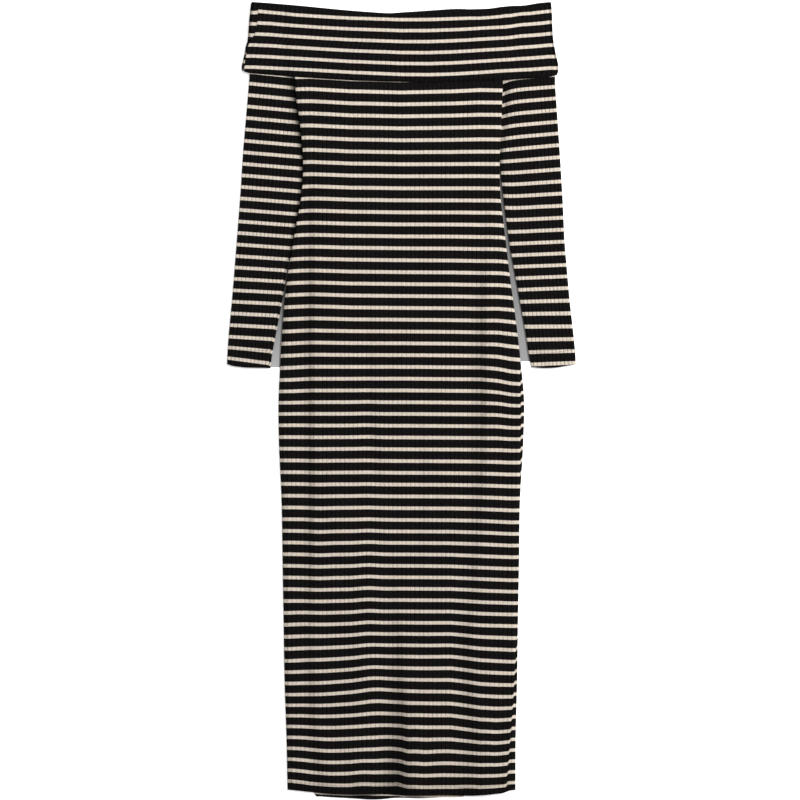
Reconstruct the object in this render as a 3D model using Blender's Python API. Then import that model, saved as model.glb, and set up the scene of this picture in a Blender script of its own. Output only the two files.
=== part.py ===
"""Off-shoulder midi dress in striped rib knit, laid flat on its back.

Six cut pieces: front, back, two sleeves and the two halves of a fold-over collar. The dress lies in
the XY plane with the neck towards +Y, and +Z is up. Tables and sizes are in millimetres, and the
last step of each wall turns them into metres. "Drop" is measured down the dress from the highest
point of the collar's fold. "Depth" is measured down from the fold line itself, which dips in the
middle.
"""

import math

import bmesh
import bpy

MM = 0.001

# Shading: edges sharper than this stay crisp
SHARP_ANGLE = 50.0

# Cloth: wall of a knit layer, gap between layers, and the ribs raised on the outside
WALL = 1.2
GAP = 0.3
STEP = WALL + GAP
RIB_HEIGHT = 0.6
RIB_SHOULDERS = (0.2, 0.8)
BODY_RIB_PITCH = 6.6
SLEEVE_RIB_PITCH = 5.8
COLLAR_RIBS = 64
SMALLEST_STEP = 0.6

# Whole garment
LENGTH = 1196.0
TOP_Y = LENGTH / 2
NECK_HALF = 225.0
NECK_DIP = 15.0
NECK_POWER = 1.5

# Height of the upper layer's inner side, by depth below the fold: it lies on the collar's two
# hidden turn-ins at first, and then sinks towards the layers below
TURN_IN_DEPTH = 24.0
UPPER_LEVELS = (
    # depth, level
    (31.0, 4 * STEP),
    (108.0, 2 * STEP),
)

# Front body: drop, left edge, right edge, height of the left and right edges' inner side
BODY_SECTIONS = (
    # drop, left, right, left level, right level
    (133.0, -159.0, 151.5, 3.0, 3.0),
    (178.0, -153.0, 150.0, 3.0, 3.0),
    (245.0, -147.0, 147.0, 3.0, 3.0),
    (298.0, -152.0, 148.5, 3.0, 3.0),
    (358.0, -163.5, 154.5, 3.0, 1.5),
    (418.0, -172.5, 163.5, 3.0, 1.5),
    (478.0, -177.0, 169.5, 1.5, 1.5),
    (538.0, -181.5, 177.0, 1.5, 1.5),
    (598.0, -184.5, 183.0, 1.5, 1.5),
    (658.0, -184.0, 182.0, 1.5, 1.5),
    (748.0, -180.0, 177.0, 1.5, 1.5),
    (838.0, -178.5, 175.5, 1.5, 1.5),
    (928.0, -177.0, 174.0, 1.5, 1.5),
    (1018.0, -175.5, 172.5, 1.5, 1.5),
    (1108.0, -172.5, 170.5, 1.5, 1.5),
    (1181.0, -171.0, 171.0, 1.5, 1.5),
)
BODY_TOP_LEFT = -160.0
BODY_TOP_RIGHT = 153.0
BODY_NECK_DEPTHS = (6.0, 31.0, 108.0)
BODY_LOFT = 4.2
BODY_EDGE_ROUNDING = 14.0
ROUNDING_COLUMNS = (0.3, 0.65)
FRONT_HEM_DIP = 12.0
BACK_HEM_DIP = 15.0
HEM_POWER = 4
INNER_COLUMNS = 18

# Back body
BACK_NECK_DEPTHS = (8.5, 32.5, 109.5, 125.0)
BACK_COLUMNS = 10

# Largest creases of the front: troughs given by where they run, their half width and their depth
LEFT_CREASE = (
    # drop, x, half width, depth
    (250.0, -146.0, 5.0, 0.0),
    (358.0, -139.5, 6.0, 1.5),
    (598.0, -138.0, 6.0, 1.8),
    (928.0, -138.0, 6.0, 1.5),
    (1158.0, -136.5, 6.0, 0.4),
)
RIGHT_CREASE = (
    # drop, x, half width, depth
    (200.0, 138.0, 8.0, 0.0),
    (358.0, 122.5, 9.0, 1.5),
    (598.0, 118.0, 9.0, 1.7),
    (748.0, 111.0, 9.0, 1.7),
    (928.0, 93.0, 9.0, 1.6),
    (1018.0, 98.0, 9.0, 1.4),
    (1108.0, 118.0, 9.0, 0.8),
    (1158.0, 140.0, 9.0, 0.0),
)
CENTRE_CREASE = (
    # drop, x, half width, depth
    (900.0, -3.0, 4.0, 0.0),
    (1018.0, -3.5, 6.0, 1.4),
    (1181.0, -3.0, 13.0, 2.2),
)
FRONT_CREASES = (LEFT_CREASE, RIGHT_CREASE, CENTRE_CREASE)

# Sleeves: each section runs from the outer fold to the inner edge, on or above the floor
LEFT_SLEEVE = (
    # outer x, outer drop, inner x, inner drop, tucked width
    (-224.4, 9.0, -154.0, 15.0, 8.0),
    (-226.5, 32.0, -154.0, 39.0, 8.0),
    (-228.0, 107.0, -154.0, 116.0, 8.0),
    (-229.0, 122.0, -153.0, 131.0, 11.0),
    (-232.5, 165.0, -148.0, 174.0, 11.0),
    (-237.5, 223.0, -141.5, 233.0, 11.0),
    (-241.5, 285.0, -145.5, 296.0, 11.0),
    (-246.5, 350.0, -159.0, 360.0, 8.0),
    (-249.5, 388.0, -170.0, 397.0, 4.0),
    (-254.0, 443.0, -178.5, 451.0, 0.0),
    (-258.5, 491.0, -186.5, 497.0, 0.0),
    (-261.0, 524.0, -193.5, 530.0, 0.0),
    (-261.75, 541.0, -195.0, 549.0, 0.0),
)
RIGHT_SLEEVE = (
    # outer x, outer drop, inner x, inner drop, tucked width
    (223.6, 9.0, 146.0, 15.0, 8.0),
    (224.0, 32.0, 146.0, 39.0, 8.0),
    (230.0, 109.0, 146.0, 116.0, 8.0),
    (230.5, 124.0, 145.0, 131.0, 11.0),
    (233.5, 167.0, 144.0, 174.0, 11.0),
    (237.5, 226.0, 142.0, 233.0, 11.0),
    (241.5, 291.0, 151.0, 296.0, 2.0),
    (244.5, 356.0, 161.5, 361.0, 0.0),
    (247.5, 393.0, 168.0, 397.0, 0.0),
    (252.5, 449.0, 178.0, 452.0, 0.0),
    (257.5, 494.0, 186.0, 497.0, 0.0),
    (260.5, 524.0, 191.0, 528.0, 0.0),
    (261.75, 545.0, 199.5, 551.0, 0.0),
)
SLEEVE_ROWS_IN_COLLAR = 3
SLEEVE_ROWS_AT_BACK = 9
SLEEVE_LOFT = 2.2
SLEEVE_RISE = 6.0
SLEEVE_INNER_STEPS = 7

# Collar: depth below the fold, left and right outer edges, and the seam on each side. The left
# seam is rolled to the front and the right seam lies underneath.
COLLAR_SECTIONS = (
    # depth, left edge, right edge, left seam, right seam
    (0.0, -225.0, 225.0, -214.0, 214.0),
    (31.0, -228.0, 225.5, -217.5, 213.5),
    (69.0, -234.0, 229.5, -226.0, 216.0),
    (105.0, -239.0, 235.0, -233.0, 220.0),
)
FLAP_ROW_FRACTIONS = (1.0, 0.295)
FLAP_DEPTH_LEFT = 103.5
FLAP_DEPTH_RIGHT = 110.0
BACK_FLAP_DEPTH = 96.0
FLAP_SHOULDER = 8.0
FOLD_ANGLES = (90.0, 30.0, -30.0, -90.0)
WRAP_ANGLES = (60.0, 30.0, 0.0, -30.0, -60.0)
BACK_COLLAR_COLUMNS = 14
RIBS_PER_INNER_COLUMN = 3
COLLAR_MID_HEIGHT = (5 * STEP + WALL) / 2

# Knit: black ground with beige stripes. The solids carry the darker mean of the two.
KNIT_COLOUR = (0.11, 0.10, 0.09, 1.0)
KNIT_ROUGHNESS = 0.9


def clear_scene():
    for item in list(bpy.data.objects):
        bpy.data.objects.remove(item, do_unlink=True)


def smooth(value):
    """Soft step from 0 to 1."""
    value = min(1.0, max(0.0, value))
    return value * value * (3.0 - 2.0 * value)


def table_value(table, key, column):
    """Straight-line reading of one column of a table whose first column is the key."""
    if key <= table[0][0]:
        return table[0][column]
    for low, high in zip(table, table[1:]):
        if key <= high[0]:
            share = (key - low[0]) / (high[0] - low[0])
            return low[column] + share * (high[column] - low[column])
    return table[-1][column]


def neck_drop(x):
    """Drop of the fold line, which dips between the shoulders."""
    return NECK_DIP * (1.0 - min(1.0, abs(x) / NECK_HALF) ** NECK_POWER)


def upper_level(depth):
    """Inner side of the sleeves' upper layer inside the collar."""
    return table_value(UPPER_LEVELS, depth, 1)


def rib_columns(start, end, pitch):
    """Places of each rib's valley and two shoulders between two edges, as (place, height)."""
    columns = []
    first = math.floor(start / pitch)
    last = math.ceil(end / pitch)
    for rib in range(first, last + 1):
        columns.append((rib * pitch, 0.0))
        for share in RIB_SHOULDERS:
            columns.append(((rib + share) * pitch, RIB_HEIGHT))
    low, high = start + SMALLEST_STEP, end - SMALLEST_STEP
    return [(place, height) for place, height in columns if low < place < high]


def even_places(start, end, count):
    return [start + (end - start) * step / count for step in range(count + 1)]


def stitch(mesh, row_a, row_b):
    """Fill the strip between two rows of (place, vertex), whatever their numbers of vertices."""
    a, b = 0, 0
    while a < len(row_a) - 1 or b < len(row_b) - 1:
        next_a = row_a[a + 1][0] if a < len(row_a) - 1 else math.inf
        next_b = row_b[b + 1][0] if b < len(row_b) - 1 else math.inf
        corners = [row_a[a][1], row_b[b][1]]
        if abs(next_a - next_b) < SMALLEST_STEP:
            corners += [row_b[b + 1][1], row_a[a + 1][1]]
            a, b = a + 1, b + 1
        elif next_a < next_b:
            corners += [row_a[a + 1][1]]
            a += 1
        else:
            corners += [row_b[b + 1][1]]
            b += 1
        mesh.faces.new(corners)


def add_rows(mesh, rows):
    """Vertices for rows of (place, (x, drop, z)), turned into metres in the dress's frame."""
    made = []
    for row in rows:
        vertices = []
        for place, (x, drop, z) in row:
            point = (x * MM, (TOP_Y - drop) * MM, z * MM)
            vertices.append((place, mesh.verts.new(point)))
        made.append(vertices)
    return made


def build_wall(name, outer_rows, inner_rows, material):
    """Closed wall between an outer and an inner surface with the same number of rows."""
    mesh = bmesh.new()
    outer = add_rows(mesh, outer_rows)
    inner = add_rows(mesh, inner_rows)
    for rows in (outer, inner):
        for row_a, row_b in zip(rows, rows[1:]):
            stitch(mesh, row_a, row_b)
    for row in (0, -1):
        stitch(mesh, outer[row], inner[row])
    for end in (0, -1):
        for row in range(len(outer) - 1):
            corners = (outer[row][end], outer[row + 1][end], inner[row + 1][end], inner[row][end])
            mesh.faces.new([vertex for place, vertex in corners])
    bmesh.ops.recalc_face_normals(mesh, faces=mesh.faces)
    data = bpy.data.meshes.new(name)
    mesh.to_mesh(data)
    mesh.free()
    data.shade_smooth()
    data.set_sharp_from_angle(angle=math.radians(SHARP_ANGLE))
    wall = bpy.data.objects.new(name, data)
    wall.data.materials.append(material)
    bpy.context.collection.objects.link(wall)
    return wall


def knit_material(name):
    material = bpy.data.materials.new(name)
    material.use_nodes = True
    shader = material.node_tree.nodes["Principled BSDF"]
    shader.inputs["Base Color"].default_value = KNIT_COLOUR
    shader.inputs["Roughness"].default_value = KNIT_ROUGHNESS
    shader.inputs["Metallic"].default_value = 0.0
    return material


# Front body


def crease_depth(x, drop):
    """How far the creases press the front down at a point."""
    total = 0.0
    for crease in FRONT_CREASES:
        if crease[0][0] <= drop:
            centre = table_value(crease, drop, 1)
            half_width = table_value(crease, drop, 2)
            depth = table_value(crease, drop, 3)
            total += depth * math.exp(-((x - centre) / half_width) ** 2)
    return total


def front_level(x, section):
    """Inner side of the front: low at its edges, raised between them, pressed in by creases."""
    drop, left, right, left_level, right_level = section
    from_left = smooth((x - left) / BODY_EDGE_ROUNDING)
    from_right = smooth((right - x) / BODY_EDGE_ROUNDING)
    level = BODY_LOFT
    level -= (BODY_LOFT - left_level) * (1.0 - from_left)
    level -= (BODY_LOFT - right_level) * (1.0 - from_right)
    return max(STEP, level - crease_depth(x, drop) * from_left * from_right)


def hem_drop(x, left, right, dip):
    """Extra drop of the hem, lowest in the middle."""
    share = (2.0 * x - left - right) / (right - left)
    return dip * (1.0 - abs(share) ** HEM_POWER)


def front_rows():
    outer, inner = [], []
    for depth in BODY_NECK_DEPTHS:
        level = upper_level(depth) + STEP
        left, right = BODY_TOP_LEFT, BODY_TOP_RIGHT
        places = [left] + [p for p, h in rib_columns(left, right, BODY_RIB_PITCH)] + [right]
        if depth < BODY_NECK_DEPTHS[-1]:
            places = even_places(left, right, INNER_COLUMNS)
        outer.append([(x, (x, neck_drop(x) + depth, level + WALL)) for x in places])
        places = even_places(left, right, INNER_COLUMNS)
        inner.append([(x, (x, neck_drop(x) + depth, level)) for x in places])
    for section in BODY_SECTIONS:
        drop, left, right = section[:3]
        dip = FRONT_HEM_DIP if section is BODY_SECTIONS[-1] else 0.0
        columns = [(left, 0.0)] + rib_columns(left, right, BODY_RIB_PITCH) + [(right, 0.0)]
        row = []
        for x, rib in columns:
            low = drop + hem_drop(x, left, right, dip)
            row.append((x, (x, low, front_level(x, section) + WALL + rib)))
        outer.append(row)
        row = []
        for x in front_inner_places(section):
            low = drop + hem_drop(x, left, right, dip)
            row.append((x, (x, low, front_level(x, section))))
        inner.append(row)
    return outer, inner


def front_inner_places(section):
    """Places across the inner side: even ones, and a few that follow the edges and creases."""
    drop, left, right = section[:3]
    places = even_places(left, right, INNER_COLUMNS)
    for share in ROUNDING_COLUMNS:
        places += [left + share * BODY_EDGE_ROUNDING, right - share * BODY_EDGE_ROUNDING]
    for crease in FRONT_CREASES:
        centre = table_value(crease, drop, 1)
        half_width = table_value(crease, drop, 2)
        if table_value(crease, drop, 3) > 0.0:
            places += [centre - half_width, centre, centre + half_width]
    chosen = [left]
    for place in sorted(places):
        if chosen[-1] + 2.0 * SMALLEST_STEP < place < right - SMALLEST_STEP:
            chosen.append(place)
    return chosen + [right]


# Back body


def back_rows():
    """The back fills the space between the two sleeves, and below them has the front's outline."""
    edges = []
    for left_cut, right_cut in zip(LEFT_SLEEVE[:SLEEVE_ROWS_AT_BACK], RIGHT_SLEEVE):
        left_drop, right_drop = left_cut[3], right_cut[3]
        left, right = left_cut[2] + GAP, right_cut[2] - GAP
        if left_drop > BODY_SECTIONS[0][0]:
            left = max(left, table_value(BODY_SECTIONS, left_drop, 1))
            right = min(right, table_value(BODY_SECTIONS, right_drop, 2))
        edges.append((left, left_drop, right, right_drop))
    for drop, left, right in [section[:3] for section in BODY_SECTIONS]:
        if drop > edges[SLEEVE_ROWS_AT_BACK - 1][1] + BODY_EDGE_ROUNDING:
            edges.append((left, drop, right, drop))
    outer, inner = [], []
    for number, (left, left_drop, right, right_drop) in enumerate(edges):
        floor = STEP if number < SLEEVE_ROWS_IN_COLLAR else 0.0
        dip = BACK_HEM_DIP if number == len(edges) - 1 else 0.0
        low_row, high_row = [], []
        for x in even_places(left, right, BACK_COLUMNS):
            drop = left_drop + (right_drop - left_drop) * (x - left) / (right - left)
            drop += hem_drop(x, left, right, dip)
            if number < len(BACK_NECK_DEPTHS):
                drop = neck_drop(x) + BACK_NECK_DEPTHS[number]
            low_row.append((x, (x, drop, floor)))
            high_row.append((x, (x, drop, floor + WALL)))
        outer.append(low_row)
        inner.append(high_row)
    return outer, inner


# Sleeves


def sleeve_point(section, along, height):
    """Point of a section at a distance from its outer fold."""
    outer_x, outer_drop, inner_x, inner_drop = section[:4]
    share = along / math.dist((outer_x, outer_drop), (inner_x, inner_drop))
    x = outer_x + share * (inner_x - outer_x)
    drop = outer_drop + share * (inner_drop - outer_drop)
    return (x, drop, height)


def sleeve_section(section, number):
    """Outer and inner rows of one section: lower leaf, outer fold, then the ribbed upper leaf."""
    outer_x, outer_drop, inner_x, inner_drop, tucked = section
    width = math.dist((outer_x, outer_drop), (inner_x, inner_drop))
    in_collar = number < SLEEVE_ROWS_IN_COLLAR
    floor = STEP if in_collar else 0.0
    level = upper_level(inner_drop - neck_drop(inner_x)) if in_collar else STEP
    loft = 0.0 if in_collar else SLEEVE_LOFT - STEP
    ribbed = 0.0 if in_collar else 1.0
    fold_level = level + loft
    outer_radius = (fold_level + WALL - floor) / 2.0
    middle = floor + outer_radius

    def rise(along):
        return smooth((width - along - tucked) / SLEEVE_RISE)

    def half(radius, bottom):
        row = []
        for along in reversed(even_places(outer_radius, width, SLEEVE_INNER_STEPS)):
            row.append((-along, sleeve_point(section, along, bottom)))
        for angle in reversed(WRAP_ANGLES):
            turn = math.radians(angle)
            along = outer_radius - radius * math.cos(turn)
            height = middle + radius * math.sin(turn)
            row.append((outer_radius * angle / 90.0, sleeve_point(section, along, height)))
        return row

    outer = half(outer_radius, floor)
    columns = [(outer_radius, 0.0)]
    columns += rib_columns(outer_radius, width, SLEEVE_RIB_PITCH) + [(width, 0.0)]
    for along, rib in columns:
        height = level + loft * rise(along) + WALL + rib * rise(along) * ribbed
        outer.append((along, sleeve_point(section, along, height)))
    inner = half(outer_radius - WALL, floor + WALL)
    places = even_places(outer_radius, width - tucked - SLEEVE_RISE, SLEEVE_INNER_STEPS)
    places += [width - tucked - SLEEVE_RISE / 2.0, width - tucked, width]
    for along in sorted(set(places)):
        height = level + loft * rise(along)
        inner.append((along, sleeve_point(section, along, height)))
    return outer, inner


def sleeve_rows(sections):
    outer, inner = [], []
    for number, section in enumerate(sections):
        outer_row, inner_row = sleeve_section(section, number)
        outer.append(outer_row)
        inner.append(inner_row)
    return outer, inner


# Collar


def flap_step(x):
    """How much higher the flap lies over the front body than over the sleeves."""
    left = smooth((x - BODY_TOP_LEFT) / FLAP_SHOULDER + 2.0)
    right = smooth((BODY_TOP_RIGHT - x) / FLAP_SHOULDER + 2.0)
    return STEP * left * right


def front_flap_depth(x):
    share = min(1.0, max(0.0, x / NECK_HALF))
    return FLAP_DEPTH_LEFT + (FLAP_DEPTH_RIGHT - FLAP_DEPTH_LEFT) * share


def collar_column(side, share, depth_share, rib):
    """One column of the collar, from the flap's free edge over the fold to the turn-in's edge.

    The side is one of the flat stretches that collar_point names, with its share across, or
    "left" or "right" with an angle round that outer edge. The result is two lists of points,
    outside and inside.
    """
    outside, inside = [], []
    for fraction in FLAP_ROW_FRACTIONS:
        depth = fraction * depth_share
        outside.append(collar_point(side, share, depth, 0.0, rib, None))
        inside.append(collar_point(side, share, depth, WALL, 0.0, None))
    for angle in FOLD_ANGLES:
        fade = (1.0 + math.sin(math.radians(angle))) / 2.0
        outside.append(collar_point(side, share, 0.0, 0.0, rib * fade, angle))
        inside.append(collar_point(side, share, 0.0, WALL, 0.0, angle))
    outside.append(collar_point(side, share, TURN_IN_DEPTH, 0.0, 0.0, -90.0))
    inside.append(collar_point(side, share, TURN_IN_DEPTH, WALL, 0.0, -90.0))
    return outside, inside


def collar_point(side, share, depth, inset, rib, angle):
    """A point on the collar's wall. The angle is that round the top fold, or None on the flap.

    "top" runs from the left seam to the right edge and "strip" from that seam to the left edge.
    "under" is the underside up to the right seam, and "tail" the rest of it.
    """
    left_edge, right_edge, left_seam, right_seam = [
        table_value(COLLAR_SECTIONS, depth, column) for column in (1, 2, 3, 4)
    ]
    level = upper_level(depth) + STEP + WALL
    middle = level / 2.0
    x = {
        "top": left_seam + share * (right_edge - middle - left_seam),
        "strip": left_edge + middle + share * (left_seam - GAP - left_edge - middle),
        "under": left_edge + middle + share * (right_seam - GAP - left_edge - middle),
        "tail": right_edge - middle + share * (right_seam - right_edge + middle),
        "left": left_edge + middle,
        "right": right_edge - middle,
    }[side]
    turn = {"top": 90.0, "strip": 90.0, "under": -90.0, "tail": -90.0}.get(side, share)
    reach = middle + (flap_step(x) if side == "top" else 0.0)
    slide = 0.0
    if angle is not None:
        radius = (reach - GAP / 2.0) / 2.0
        bend = math.radians(angle)
        slide = max(depth, radius - (radius - inset + rib) * math.cos(bend))
        reach = reach - radius + (radius - inset + rib) * math.sin(bend)
    else:
        reach = reach - inset + rib
        slide = depth
    across = math.cos(math.radians(turn)) * reach
    x += {"left": -across, "right": across}.get(side, 0.0)
    height = middle + math.sin(math.radians(turn)) * reach
    return (x, neck_drop(x) + slide, height)


def collar_rows(columns):
    """Rows of the outside, with all columns, and of the inside, with the marked ones."""
    outer, inner = [], []
    for place, (side, share, depth, rib, on_inside) in enumerate(columns):
        outside, inside = collar_column(side, share, depth, rib)
        for number, point in enumerate(outside):
            if len(outer) <= number:
                outer.append([])
                inner.append([])
            turn_in = number == len(outside) - 1
            if on_inside or not turn_in:
                outer[number].append((float(place), point))
            if on_inside:
                inner[number].append((float(place), inside[number]))
    return outer, inner


def collar_front_columns():
    """From the left seam across the front, round the right edge and a little way underneath."""
    columns = []
    for rib in range(COLLAR_RIBS):
        x = COLLAR_SECTIONS[0][3] + 2.0 * NECK_HALF * rib / COLLAR_RIBS
        to_step = min(abs(x - BODY_TOP_LEFT), abs(x - BODY_TOP_RIGHT))
        on_inside = to_step < 3.0 * FLAP_SHOULDER or rib % RIBS_PER_INNER_COLUMN == 0
        columns.append(("top", rib / COLLAR_RIBS, front_flap_depth(x), 0.0, on_inside))
        for share in RIB_SHOULDERS:
            across = (rib + share) / COLLAR_RIBS
            columns.append(("top", across, front_flap_depth(x), RIB_HEIGHT, False))
    columns.append(("top", 1.0, FLAP_DEPTH_RIGHT, 0.0, True))
    for angle in WRAP_ANGLES:
        columns.append(("right", angle, FLAP_DEPTH_RIGHT, 0.0, True))
    for share in (0.0, 1.0):
        columns.append(("tail", share, BACK_FLAP_DEPTH, 0.0, True))
    return columns


def collar_back_columns():
    """From the seam on the front, round the left edge and across the underside."""
    columns = [("strip", share, FLAP_DEPTH_LEFT, 0.0, True) for share in (1.0, 0.0)]
    for angle in WRAP_ANGLES:
        columns.append(("left", angle, FLAP_DEPTH_LEFT, 0.0, True))
    for share in even_places(0.0, 1.0, BACK_COLLAR_COLUMNS):
        columns.append(("under", share, BACK_FLAP_DEPTH, 0.0, True))
    return columns


def main():
    clear_scene()
    pieces = (
        ("front", front_rows()),
        ("back", back_rows()),
        ("sleeve_left", sleeve_rows(LEFT_SLEEVE)),
        ("sleeve_right", sleeve_rows(RIGHT_SLEEVE)),
        ("collar_front", collar_rows(collar_front_columns())),
        ("collar_back", collar_rows(collar_back_columns())),
    )
    for name, (outer, inner) in pieces:
        build_wall(name, outer, inner, knit_material(name))


main()
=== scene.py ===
"""Looks of the off-shoulder knit dress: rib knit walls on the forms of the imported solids.

Tables and sizes are in millimetres. "Drop" is measured down the dress from the highest point of the
collar's fold, "depth" from the fold line itself, which dips in the middle. +Y is towards the neck.
Side -1 is the photograph's left and side 1 its right. The camera, lights and floor are in metres.
"""

import math

import bmesh
import bpy
import numpy as np
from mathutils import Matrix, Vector


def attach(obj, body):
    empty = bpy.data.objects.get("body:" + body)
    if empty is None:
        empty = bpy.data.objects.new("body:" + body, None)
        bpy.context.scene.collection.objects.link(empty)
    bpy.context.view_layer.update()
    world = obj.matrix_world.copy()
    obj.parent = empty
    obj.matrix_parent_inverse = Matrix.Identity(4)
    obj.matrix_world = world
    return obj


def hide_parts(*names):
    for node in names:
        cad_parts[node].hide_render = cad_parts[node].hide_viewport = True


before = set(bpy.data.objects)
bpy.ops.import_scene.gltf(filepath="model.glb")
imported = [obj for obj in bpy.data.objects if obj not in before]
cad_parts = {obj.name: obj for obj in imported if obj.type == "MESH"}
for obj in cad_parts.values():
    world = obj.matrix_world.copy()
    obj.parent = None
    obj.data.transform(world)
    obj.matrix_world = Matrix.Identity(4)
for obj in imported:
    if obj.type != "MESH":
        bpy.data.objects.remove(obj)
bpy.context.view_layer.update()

MM = 0.001
FAR = 500

# Cloth
WALL = 1.2
GAP = 0.3
STEP = WALL + GAP
RIB_HEIGHT = 0.6
BODY_RIB_PITCH = 6.6
SLEEVE_RIB_PITCH = 5.8
COLLAR_RIBS = 64
RIB_COLUMNS = (0, 0.09, 0.22, 0.5, 0.78, 0.91)
RIB_FLANK = 0.3
RIB_FADE = 3
EDGE_COLUMNS = (0, 0.25, 0.7, 1.4)
EDGE_RADIUS = 1.1
SMALLEST_STEP = 0.45
SAME_PLACE = 0.15
ROW_STEP = 5
INNER_COLUMNS = 24
SHARP_ANGLE = 75

# Whole garment
LENGTH = 1196
TOP_Y = LENGTH / 2
NECK_LINE = (
    # x, drop
    (-225, 0), (-190, 2.6), (-142, 6.9), (-94, 11.6), (-46, 15.5), (-20, 17),
    (10, 16.2), (50, 13.6), (85, 11.3), (110, 11), (134, 9.9), (150, 7.6), (165, 6.2),
    (184, 5.4), (206, 1.9), (225, 0),
)
BACK_NECK_LIFT = 1.5
BACK_NECK_MIDDLE = 42
BACK_NECK_SPREAD = 62

# Levels inside the collar
TURN_IN_DEPTH = 24
UPPER_LEVELS = (
    # depth, level
    (31, 4 * STEP),
    (108, 2 * STEP),
)

# Body outline
BODY_SECTIONS = (
    # drop, left, right, left level, right level
    (20, -160, 153, 3, 3),
    (108, -160, 152.5, 3, 3),
    (133, -159, 151.5, 4.4, 4),
    (178, -153, 150, 4.6, 4.2),
    (245, -147.5, 147.2, 4.6, 4.2),
    (298, -151.2, 149, 4.4, 3.6),
    (328, -156.8, 152.6, 4.2, 2.6),
    (358, -162.2, 156.2, 3.8, 1.5),
    (418, -172, 163.4, 3, 1.5),
    (478, -178, 171.6, 1.5, 1.5),
    (538, -181.7, 178.6, 1.5, 1.5),
    (598, -184.5, 184, 1.5, 1.5),
    (658, -184, 182.8, 1.5, 1.5),
    (748, -180, 177.8, 1.5, 1.5),
    (838, -178.5, 176.5, 1.5, 1.5),
    (928, -177, 174.8, 1.5, 1.5),
    (1018, -175.5, 173.5, 1.5, 1.5),
    (1108, -172.5, 171.3, 1.5, 1.5),
    (1181, -171, 171, 1.5, 1.5),
)
BODY_END = BODY_SECTIONS[-1][0]
# Rows hidden in the collar, and how far the last rows lie from the hem
HIDDEN_ROWS = (6, 31, 66, 96)
HEM_ROWS = (1.5, 0.7, 0.2, 0)
BODY_TOP_LEFT = -160
BODY_TOP_RIGHT = 153
COLLAR_ZONE_END = 108
COLLAR_BLEND = 25
ROW_OVERLAP = 4
RIB_START = 12
NECK_BEND_END = 165
BODY_LOFT = 7.2
EDGE_FALL_WIDTH = 8
SIDE_SLOPE_WIDTH = 48
SIDE_SLOPE_SHARE = 0.4
HEM_BEND = 60
# The back starts lower than the front inside the collar, and comes down to the floor below it
BACK_TOP_SHIFT = 2.5
BACK_EDGE_SHIFT = 8
BACK_EDGE_SHIFT_END = 20
BACK_FALL_START = 112
BACK_FALL = 12
BACK_EDGE_ROUNDING = 0.5
FRONT_HEM = (
    # x, drop
    (-171, 1181.4), (-137, 1185), (-109, 1187.4), (-81, 1188.6), (-16, 1188.6),
    (-1, 1190), (30, 1190.2), (63, 1189.4), (106, 1190.7), (138, 1188.2), (155, 1185.6),
    (161, 1183), (171, 1181.8),
)
BACK_HEM = (
    # x, drop
    (-171, 1180.5), (-140, 1184.5), (-132, 1185.6), (-128.5, 1190.6), (-122, 1191.4),
    (-109.5, 1192.5), (-97.5, 1193.2), (-85.5, 1193.8), (-73.5, 1194.5),
    (-61.5, 1195.3), (-49.5, 1196.1), (-37.5, 1196.1), (-25.5, 1195.4), (-13.5, 1194),
    (-1.5, 1193.6), (10.5, 1193.9), (28, 1194.3), (46.5, 1193.7), (58.5, 1193),
    (82.5, 1192.8), (91, 1192.2), (100, 1188.5), (138, 1186), (171, 1180.5),
)

# Creases of the front, as troughs. Each row is the drop and x of the bottom, the trough's half width
# on the left and right, its depth, how dark its painted shade is, and that shade's half width on the
# left and right.
LEFT_CREASE = (
    (230, -141, 10, 7, 0, 0, 8, 9),
    (330, -140, 13, 7, 3, 0.08, 8, 9),
    (450, -140.5, 16, 7, 4.4, 0.18, 9, 9),
    (600, -141, 16, 7, 4.5, 0.2, 10, 9),
    (750, -140, 16, 7, 4.4, 0.18, 9, 9),
    (825, -141, 16, 7, 4.4, 0.18, 9, 9),
    (900, -142.5, 16, 8, 3, 0.06, 12, 9),
    (970, -141.8, 16, 8, 3, 0.06, 10, 9),
    (1041, -139.5, 15, 8, 3.4, 0.18, 9, 9),
    (1113, -135, 15, 9, 2.6, 0.15, 12, 12),
    (1185, -124, 14, 12, 2, 0.12, 8, 30),
)
RIGHT_CREASE = (
    (200, 127, 14, 10, 0, 0, 14, 8),
    (320, 122, 16, 9, 2, 0.05, 14, 8),
    (395, 119.5, 18, 8, 3.4, 0.12, 13, 8),
    (465, 117, 16, 7.5, 4.2, 0.24, 13, 8),
    (537, 118, 16, 7, 4.4, 0.24, 13, 8),
    (609, 118, 14, 7, 4.4, 0.22, 14, 8),
    (681, 117.5, 13, 7, 4, 0.16, 9, 8),
    (753, 112, 13, 8, 3.4, 0.12, 12, 10),
    (825, 105, 16, 9, 3, 0.1, 14, 12),
    (897, 99, 18, 10, 3, 0.08, 16, 14),
    (969, 91.5, 16, 10, 3.4, 0.16, 12, 12),
    (1041, 95.5, 14, 10, 3.4, 0.2, 12, 16),
    (1113, 101, 16, 12, 2.6, 0.16, 22, 16),
    (1185, 94, 22, 14, 1.6, 0.16, 24, 20),
)
CENTRE_CREASE = (
    (850, -16, 8, 6, 0, 0, 14, 8),
    (900, -14, 12, 7, 1.6, 0.1, 14, 8),
    (969, -8, 16, 8, 2.8, 0.14, 16, 9),
    (1041, -6.5, 18, 9, 4.2, 0.36, 18, 13),
    (1113, -4, 20, 11, 5.2, 0.5, 20, 13),
    (1150, -7, 20, 13, 5.4, 0.6, 20, 18),
    (1190, -9, 22, 15, 5.4, 0.66, 22, 20),
)
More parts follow.
